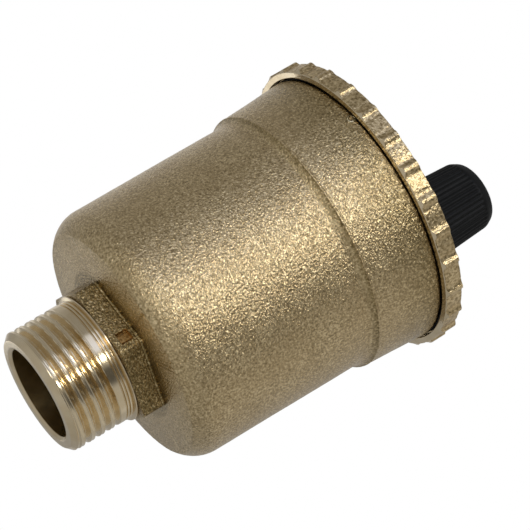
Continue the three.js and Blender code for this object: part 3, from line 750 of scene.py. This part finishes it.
def coil(name, R, wire, z0, z1, turns, n=300, m=14):
    """Round wire wound up the valve's axis at an even pitch, with hemispherical tips."""
    t = np.linspace(0, 1, n)
    a = t * turns * 2 * math.pi
    z = z0 + (z1 - z0) * t
    C = np.stack([VX + R * np.cos(a), R * np.sin(a), z], -1)
    D = np.gradient(C, axis=0)
    D /= np.linalg.norm(D, axis=1, keepdims=True)
    U = np.stack([np.cos(a), np.sin(a), np.zeros(n)], -1)
    W = np.cross(D, U)
    rings_, r_ = [], []
    caps = [(-1, q) for q in (0.98, 0.8, 0.5, 0.2)]
    for s_, q in caps:
        rings_.append(C[0] - D[0] * wire * q)
        r_.append((0, wire * math.sqrt(1 - q * q)))
    for i in range(n):
        rings_.append(C[i])
        r_.append((i, wire))
    for q in (0.2, 0.5, 0.8, 0.98):
        rings_.append(C[-1] + D[-1] * wire * q)
        r_.append((n - 1, wire * math.sqrt(1 - q * q)))
    b = np.arange(m) * 2 * math.pi / m
    V = []
    for c, (i, r) in zip(rings_, r_):
        V.append(c + r * (np.cos(b)[:, None] * U[i] + np.sin(b)[:, None] * W[i]))
    V = np.concatenate(V)
    k = len(rings_)
    faces = [(i * m + j, i * m + (j + 1) % m, (i + 1) * m + (j + 1) % m, (i + 1) * m + j) for i in range(k - 1) for j in range(m)]
    p0, p1 = len(V), len(V) + 1
    V = np.vstack([V, C[0] - D[0] * wire, C[-1] + D[-1] * wire])
    faces += [(p0, (j + 1) % m, j) for j in range(m)] + [((k - 1) * m + j, (k - 1) * m + (j + 1) % m, p1) for j in range(m)]
    return merge(mesh_object(name, V, faces, 60))


spring = coil("valve_spring_fine", 2.2, 0.26, 56.72, 60.66, 3.6)
finish_piece(spring, "cover", "valve_spring", MAT["stainless"])
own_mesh(spring)

# bracket folded from sheet, with its two screws
outline = rounded([(2.5, -11.5), (9.5, -11.5), (16.2, -4.0), (16.2, 4.0), (9.5, 11.5), (2.5, 11.5)], 1.2)
bracket = plate("lever_bracket_fine", outline, 61.0, 61.8, "Z", 0.12)
for s_ in (-1, 1):
    y0 = 1.6 if s_ > 0 else -2.4
    tab = [(11.8, 61.35), (11.8, 53.5)] + [(PX - 1.7 * math.cos(q), PZ - 1.7 * math.sin(q)) for q in np.linspace(0, math.pi, 25)[1:-1]] + [(15.2, 53.5), (15.2, 61.35)]
    boolean(bracket, plate("tab", tab, y0, y0 + 0.8, "Y", 0.10), "UNION")
boolean(bracket, revolve("hole", path([(0, 60, 0), (1.1, 60, 0), (1.1, 63, 0), (0, 63, 0)], step=2), 48, False, cx=VX), "DIFFERENCE")
for py in (-9, 9):
    boolean(bracket, revolve("hole", path([(0, 60, 0), (1.3, 60, 0), (1.3, 63, 0), (0, 63, 0)], step=2), 48, False, cx=6.0, cy=py), "DIFFERENCE")
boolean(bracket, bar_y("hole", [(0, -4, 0), (0.85, -4, 0), (0.85, 4, 0), (0, 4, 0)], PX, PZ), "DIFFERENCE")
finish_piece(shade(bracket), "cover", "lever_bracket", MAT["stainless"])
for nm, py in (("bracket_screw_a", -9), ("bracket_screw_b", 9)):
    sc = revolve(nm + "_fine", path([(0, 59.72, 0), (1.3, 59.76, 0.2), (2.1, 60.10, 0.25), (2.2, 60.95, 0.08), (1.1, 60.95, 0.08, 0.06), (1.1, 63.6, 0.05, 0.06), (0.8, 63.9, 0.05), (0, 63.9, 0)], step=0.3, arc=0.06), 96, False,
                 cx=6.0, cy=py, shape=thread_on(1.1, 0.18, 0.45, 61.3, 63.7, 0.2, 0.85))
    boolean(sc, plate("slot", [(-3, py - 0.3), (3 + 12, py - 0.3), (15, py + 0.3), (-3, py + 0.3)], 59.0, 60.3, "Z", 0.0), "DIFFERENCE")
    finish_piece(shade(sc, 30), "cover", nm, MAT["stainless"])

# lever, lightened along its arm, with the link pin and its clip
tilt = Matrix.Translation((PX * MM, 0, PZ * MM)) @ Matrix.Rotation(-TILT * RAD, 4, "Y")
side = [(1.6 * math.cos(q), 1.6 * math.sin(q)) for q in np.linspace(-math.pi / 2, math.pi / 2, 28)] + [(-4.0, 1.1), (-ARM, 1.1)]
side += [(-ARM + 1.1 * math.cos(q), 1.1 * math.sin(q)) for q in np.linspace(math.pi / 2, 1.5 * math.pi, 24)[1:]] + [(-4.0, -1.1)]
lever = plate("lever_fine", side, -1.1, 1.1, "Y", 0.15)
for y0, y1 in ((0.6, 2.0), (-2.0, -0.6)):
    boolean(lever, plate("cut", rounded([(-17.2, -2.5), (-7.6, -2.5), (-7.6, 2.5), (-17.2, 2.5)], 0.5), y0, y1, "Y", 0.0), "DIFFERENCE")
boolean(lever, bar_y("hole", [(0, -4, 0), (0.85, -4, 0), (0.85, 4, 0), (0, 4, 0)], 0, 0), "DIFFERENCE")
boolean(lever, bar_y("hole", [(0, -4, 0), (0.8, -4, 0), (0.8, 4, 0), (0, 4, 0)], -ARM, 0), "DIFFERENCE")
finish_piece(shade(place(lever, tilt)), "lever", "lever", MAT["stainless"])
link = bar_y("link_pin_fine", [(0, -3.35, 0), (1.25, -3.35, 0.15), (1.25, -2.75, 0.06), (0.7, -2.75, 0.05), (0.7, 3.38, 0.08), (0.6, 3.45, 0.03), (0, 3.45, 0)], -ARM, 0)
finish_piece(shade(place(link, tilt)), "lever", "link_pin", MAT["stainless"])
finish_piece(shade(place(clip_y("link_pin_clip_fine", 0.8, 1.4, 2.8, 3.2, -ARM, 0, 0.35, 2.2), tilt)), "lever", "link_pin_clip", MAT["stainless"])
pin = bar_y("lever_pin_fine", [(0, -3.25, 0), (1.4, -3.25, 0.18), (1.4, -2.5, 0.06), (0.75, -2.5, 0.05), (0.75, 3.3, 0.08), (0.65, 3.4, 0.03), (0, 3.4, 0)], PX, PZ)
finish_piece(shade(pin), "cover", "lever_pin", MAT["stainless"])
finish_piece(shade(clip_y("lever_pin_clip_fine", 0.83, 1.6, 2.55, 3.05, PX, PZ, 0.35, -1.2)), "cover", "lever_pin_clip", MAT["stainless"])

# float: open cup, and the lid with its two hook eyes
FZ = 23.0
cup = path([
    (0, FZ + 0.8, 0), (11.6, FZ + 0.35, 1.5), (14.5, FZ, 1.0), (16.8, FZ + 0.55, 1.5), (18.0, FZ + 2.4, 1.8), (18.0, 44.4, 0.0), (17.9, 44.5, 0.1), (17.9, 45.3, 0.15), (16.8, 45.3, 0.15), (16.8, FZ + 2.8, 1.4),
    (15.9, FZ + 1.6, 1.0), (14.3, FZ + 1.2, 0.8), (12.0, FZ + 1.55, 1.0), (0, FZ + 2.0, 0)], step=0.9, arc=0.25)
finish_piece(revolve("float_cup_fine", cup, 180, False), "float", "float_cup", MAT["float_plastic"])
lid = revolve("float_lid_fine", path([
    (0, 45.4, 0), (15.4, 45.4, 0.2), (15.4, 43.4, 0.1), (16.45, 43.4, 0.2), (16.5, 45.4, 0.1), (17.9, 45.4, 0.1), (18.0, 45.5, 0.05), (18.0, 45.95, 0.3), (17.5, 46.4, 0.3), (13.6, 46.4, 0.2), (13.3, 46.25, 0.2), (0, 46.25, 0)], step=0.9, arc=0.1), 180, False)
HX, HZ = PX - ARM * math.cos(TILT * RAD) - 0.08, PZ - ARM * math.sin(TILT * RAD)
for s_ in (-1, 1):
    y0 = 1.45 if s_ > 0 else -2.45
    ear = [(HX - 2.6, 46.0), (HX + 2.6, 46.0), (HX + 2.6, HZ - 1.6), (HX + 1.9, HZ - 0.7), (HX + 1.9, HZ + 1.9), (HX - 1.9, HZ + 1.9), (HX - 1.9, HZ - 0.7), (HX - 2.6, HZ - 1.6)]
    boolean(lid, plate("ear", rounded(ear, [0, 0, 0.6, 0.6, 1.0, 1.0, 0.6, 0.6]), y0, y0 + 1.0, "Y", 0.12), "UNION")
cutter = [(HX + 0.2 + 0.8 * math.cos(q), HZ + 0.8 * math.sin(q)) for q in np.linspace(-math.pi / 2, math.pi / 2, 24)] + [(HX - 0.2 + 0.8 * math.cos(q), HZ + 0.8 * math.sin(q)) for q in np.linspace(math.pi / 2, 1.5 * math.pi, 24)]
boolean(lid, plate("slot", cutter, -4.0, 4.0, "Y", 0.0), "DIFFERENCE")
finish_piece(shade(lid, 32), "float", "float_lid", MAT["float_plastic"])

# ---------------------------------------------------------------- any CAD piece still shown
slot_of = {s["node"]: s["material_slot"] for s in frame["record"]["subparts"]}
for name, ob in frame["nodes"].items():
    if ob.hide_render:
        continue
    ob.data.materials.clear()
    ob.data.materials.append(MAT[slot_of[name]])

# ---------------------------------------------------------------- stage, light, camera
bpy.ops.mesh.primitive_plane_add(size=6.0, location=(0, 0, -0.32))
floor = bpy.context.object
floor.name = "floor"
fm = Mat("floor_pale")
fm.l(fm.ramp(fm.noise(40.0, 3.0), [(0.3, (0.80, 0.80, 0.79, 1)), (0.7, (0.84, 0.84, 0.83, 1))]), fm.bsdf.inputs["Base Color"])
fm.bsdf.inputs["Roughness"].default_value = 0.7
floor.data.materials.append(fm.m)

world = bpy.data.worlds.new("studio")
scene.world = world
world.use_nodes = True
wt = world.node_tree
wt.nodes.clear()
wo = wt.nodes.new("ShaderNodeOutputWorld")
bgc = wt.nodes.new("ShaderNodeBackground")
bge = wt.nodes.new("ShaderNodeBackground")
mixs = wt.nodes.new("ShaderNodeMixShader")
lp = wt.nodes.new("ShaderNodeLightPath")
bgc.inputs[0].default_value = (1, 1, 1, 1)
bgc.inputs[1].default_value = 1.0
bge.inputs[0].default_value = (1.0, 0.99, 0.98, 1)
wc = wt.nodes.new("ShaderNodeTexCoord")
wx = wt.nodes.new("ShaderNodeSeparateXYZ")
wt.links.new(wc.outputs["Generated"], wx.inputs[0])


def wnode(op, a, b=None):
    nd = wt.nodes.new("ShaderNodeMath")
    nd.operation = op
    for i, v in enumerate((a, b)):
        if v is None:
            continue
        if isinstance(v, (int, float)):
            nd.inputs[i].default_value = v
        else:
            wt.links.new(v, nd.inputs[i])
    return nd.outputs[0]


def wstep(v, a, b):
    nd = wt.nodes.new("ShaderNodeMapRange")
    nd.interpolation_type = "SMOOTHSTEP"
    for i, x in ((1, a), (2, b), (3, 0.0), (4, 1.0)):
        nd.inputs[i].default_value = x
    wt.links.new(v, nd.inputs[0])
    return nd.outputs[0]


def wband(v, a, b, soft):
    """1 between a and b, falling to 0 over `soft` outside each end."""
    return wnode("MULTIPLY", wstep(v, a - soft, a), wnode("SUBTRACT", 1.0, wstep(v, b, b + soft)))


# the studio seen from the object: degrees round from -Y towards +X, and the height of the direction
az = wnode("MULTIPLY", wnode("ARCTAN2", wx.outputs[0], wnode("MULTIPLY", wx.outputs[1], -1.0)), 180.0 / math.pi)
el = wx.outputs[2]
level = wnode("ADD", 0.34, wnode("MULTIPLY", wstep(wx.outputs[1], -0.3, 0.9), 0.08))
zone = wband(el, -0.12, 0.62, 0.18)
for a0, a1, soft, gain in ((24.0, 47.0, 10.0, -0.24), (62.0, 118.0, 10.0, 0.12), (-118.0, -50.0, 8.0, -0.05)):
    level = wnode("ADD", level, wnode("MULTIPLY", wnode("MULTIPLY", wband(az, a0, a1, soft), zone), gain))
level = wnode("ADD", level, wnode("MULTIPLY", wnode("MULTIPLY", wband(az, -178.0, -150.0, 8.0), wband(el, 0.10, 0.50, 0.15)), 0.26))
level = wnode("ADD", level, wnode("MULTIPLY", wnode("MULTIPLY", wband(az, -179.0, -160.0, 5.0), wband(el, -0.48, -0.28, 0.06)), 0.42))
card = wnode("MULTIPLY", wband(az, -41.0, -12.0, 5.0), wband(el, 0.02, 0.46, 0.06))
level = wnode("ADD", level, wnode("MULTIPLY", card, 0.66))
tint = wt.nodes.new("ShaderNodeMix")
tint.data_type = "RGBA"
tint.inputs[6].default_value = (1.0, 0.99, 0.98, 1)
tint.inputs[7].default_value = (0.90, 1.0, 1.36, 1)
wt.links.new(card, tint.inputs[0])
wt.links.new(tint.outputs[2], bge.inputs[0])
wt.links.new(level, bge.inputs[1])
wt.links.new(lp.outputs["Is Camera Ray"], mixs.inputs[0])
wt.links.new(bge.outputs[0], mixs.inputs[1])
wt.links.new(bgc.outputs[0], mixs.inputs[2])
wt.links.new(mixs.outputs[0], wo.inputs[0])


def area(name, loc, target, sx, sy, power, color=(1, 1, 1)):
    d = bpy.data.lights.new(name, "AREA")
    d.shape = "RECTANGLE"
    d.size, d.size_y = sx, sy
    d.energy = power
    d.color = color
    o = bpy.data.objects.new(name, d)
    scene.collection.objects.link(o)
    o.location = loc
    o.rotation_euler = (Vector(target) - Vector(loc)).to_track_quat("-Z", "Y").to_euler()
    return o


tgt = (0, 0, 0.035)
area("key", (0.034, -0.62, 0.33), tgt, 0.11, 0.34, 1.06)
area("low", (-0.190, -0.55, -0.185), tgt, 0.12, 0.20, 0.40)
area("back_low", (-0.095, 0.47, -0.15), (0, 0, 0.06), 0.15, 0.10, 0.036)

cam_d = bpy.data.cameras.new("camera")
cam = bpy.data.objects.new("camera", cam_d)
scene.collection.objects.link(cam)
cam_d.sensor_fit = "HORIZONTAL"
cam_d.sensor_width = 36.0
cam_d.lens = 136.008
cam_d.clip_start = 0.01
cam_d.clip_end = 20.0
right = Vector((0.50991, -0.29521, 0.80797))
up = Vector((-0.86020, -0.17583, 0.47858))
fwd = Vector((-0.00078, 0.93908, 0.34362))
rot = Matrix((right, up, -fwd)).transposed()
cam.matrix_world = Matrix.Translation((0.000955, -0.304318, -0.068202)) @ rot.to_4x4()
scene.camera = cam
scene.view_settings.view_transform = "Standard"
scene.view_settings.look = "None"
